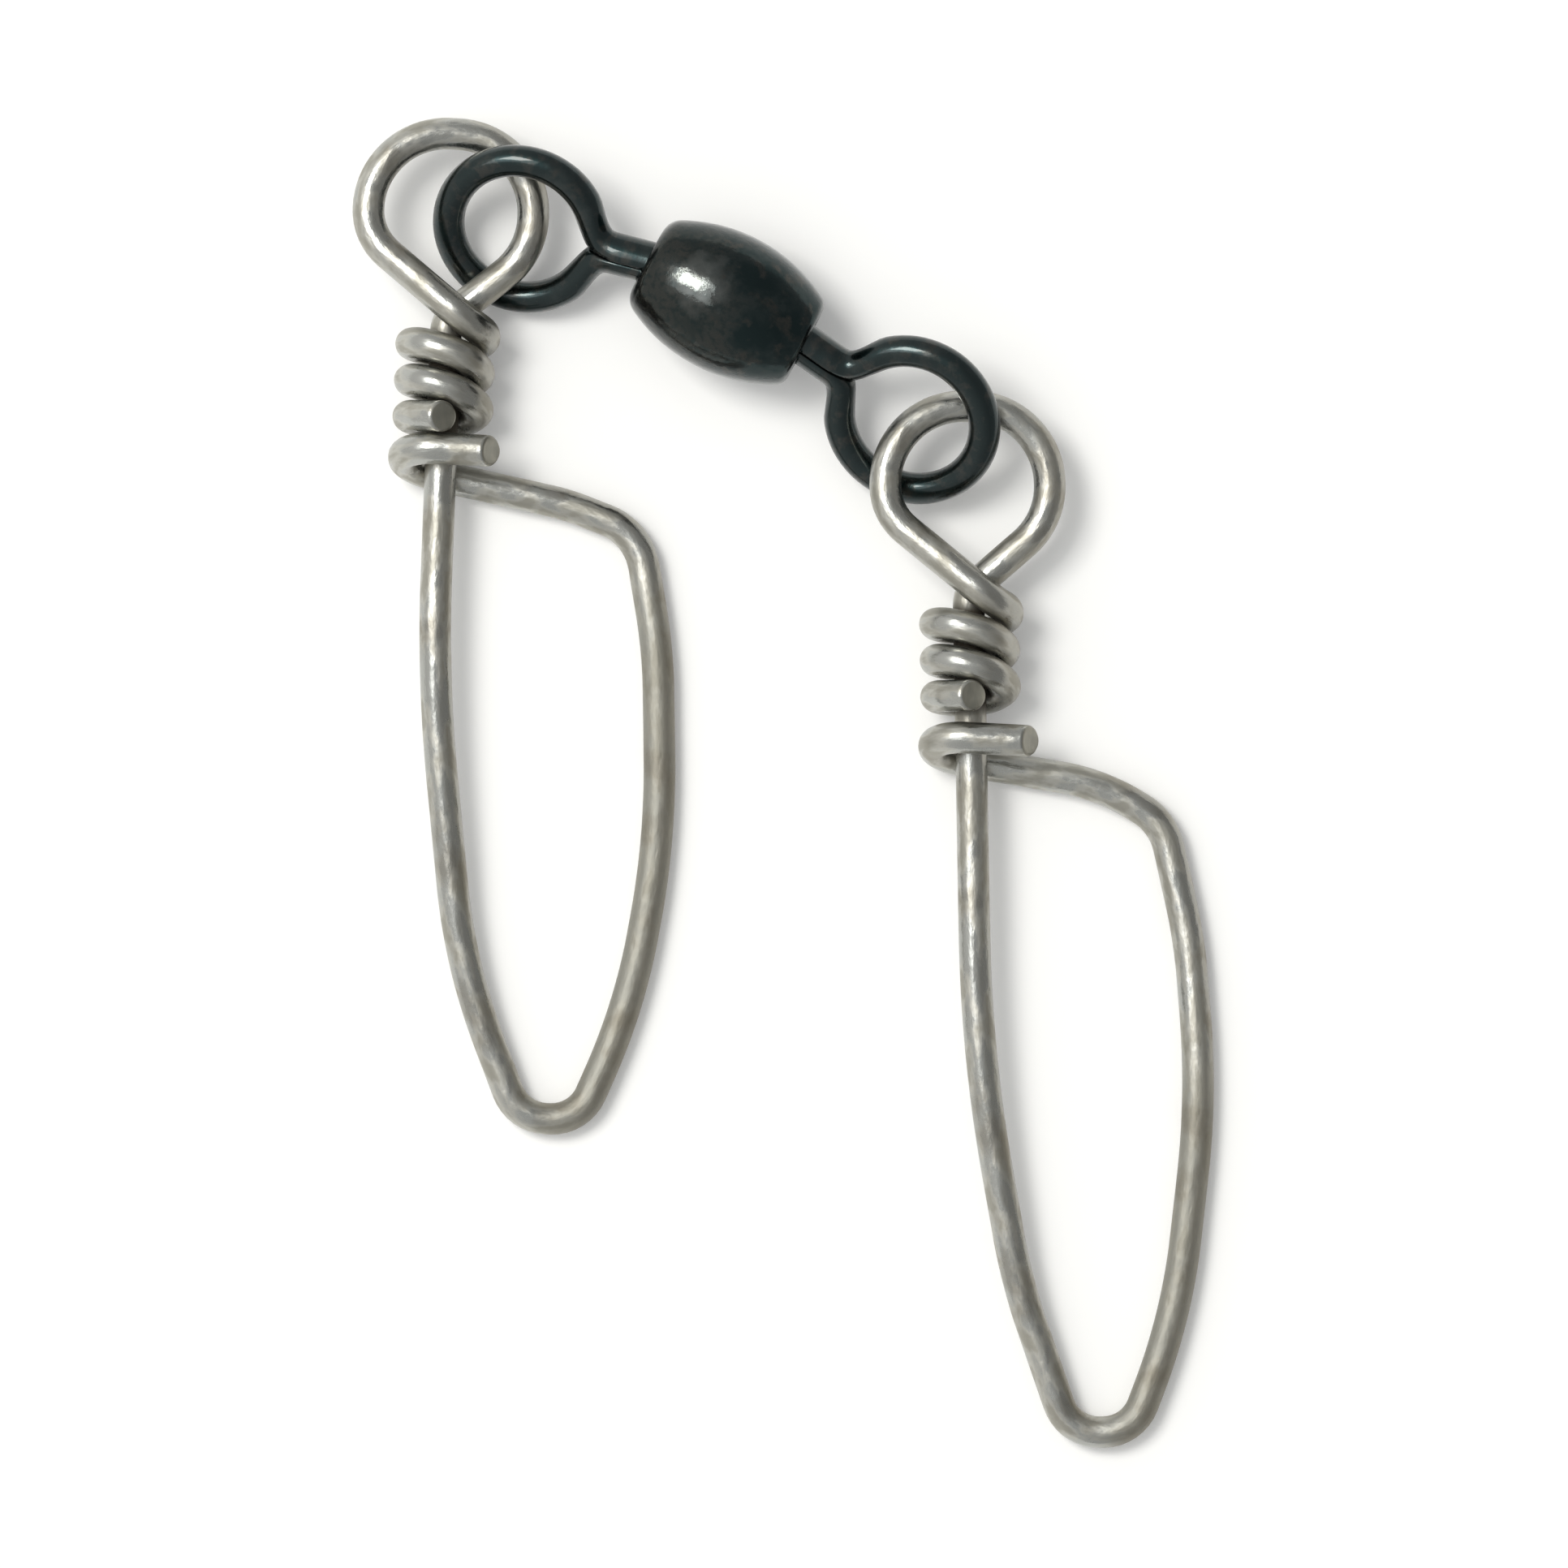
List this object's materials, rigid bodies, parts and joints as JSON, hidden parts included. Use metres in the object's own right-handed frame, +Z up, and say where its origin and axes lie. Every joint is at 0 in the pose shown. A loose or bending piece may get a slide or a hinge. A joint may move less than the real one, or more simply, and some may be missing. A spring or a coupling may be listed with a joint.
{
  "type": "fishing snap swivel",
  "caption": "Barrel swivel with a wire eye at each end, each eye linked to a long spring-wire snap whose hooked end closes the loop below its wraps.",
  "frame": {"origin": "middle of the part's outline on the surface it lies on", "axes": "+Y along the snaps from their tips towards the swivel, +X across from the left snap to the right one, +Z up from the surface, z = 0 on the surface"},
  "size_m": [0.0392, 0.0604, 0.0064],
  "materials": {
    "barrel_nickel": "polished black nickel plate over brass",
    "eye_nickel": "polished black nickel plate over brass wire",
    "snap_steel": "bright drawn spring steel wire with faint streaks and handling grime"
  },
  "bodies": {
    "barrel": {"swivel_barrel": "barrel_nickel"},
    "left_eye": {"left_eye_wire": "eye_nickel"},
    "right_eye": {"right_eye_wire": "eye_nickel"},
    "left_snap": {"left_snap_wire": "snap_steel"},
    "right_snap": {"right_snap_wire": "snap_steel"}
  },
  "joints": [
    {"name": "left_eye_spin", "type": "hinge", "parent": "barrel", "child": "left_eye", "pos_m": [-0.00594, 0.02361, 0.0032], "axis": [-0.9621, 0.2542, -0.0983], "continuous": true},
    {"name": "right_eye_spin", "type": "hinge", "parent": "barrel", "child": "right_eye", "pos_m": [0.00072, 0.02007, 0.0032], "axis": [0.8184, -0.5731, -0.0418], "continuous": true},
    {"name": "left_snap_swing", "type": "hinge", "parent": "left_eye", "child": "left_snap", "pos_m": [-0.01191, 0.02519, 0.00259], "axis": [-0.2079, -0.4515, 0.8677], "range_deg": [-50, 15]},
    {"name": "right_snap_swing", "type": "hinge", "parent": "right_eye", "child": "right_snap", "pos_m": [0.0058, 0.01651, 0.00294], "axis": [-0.251, -0.4221, 0.8711], "range_deg": [-12, 50]}
  ]
}
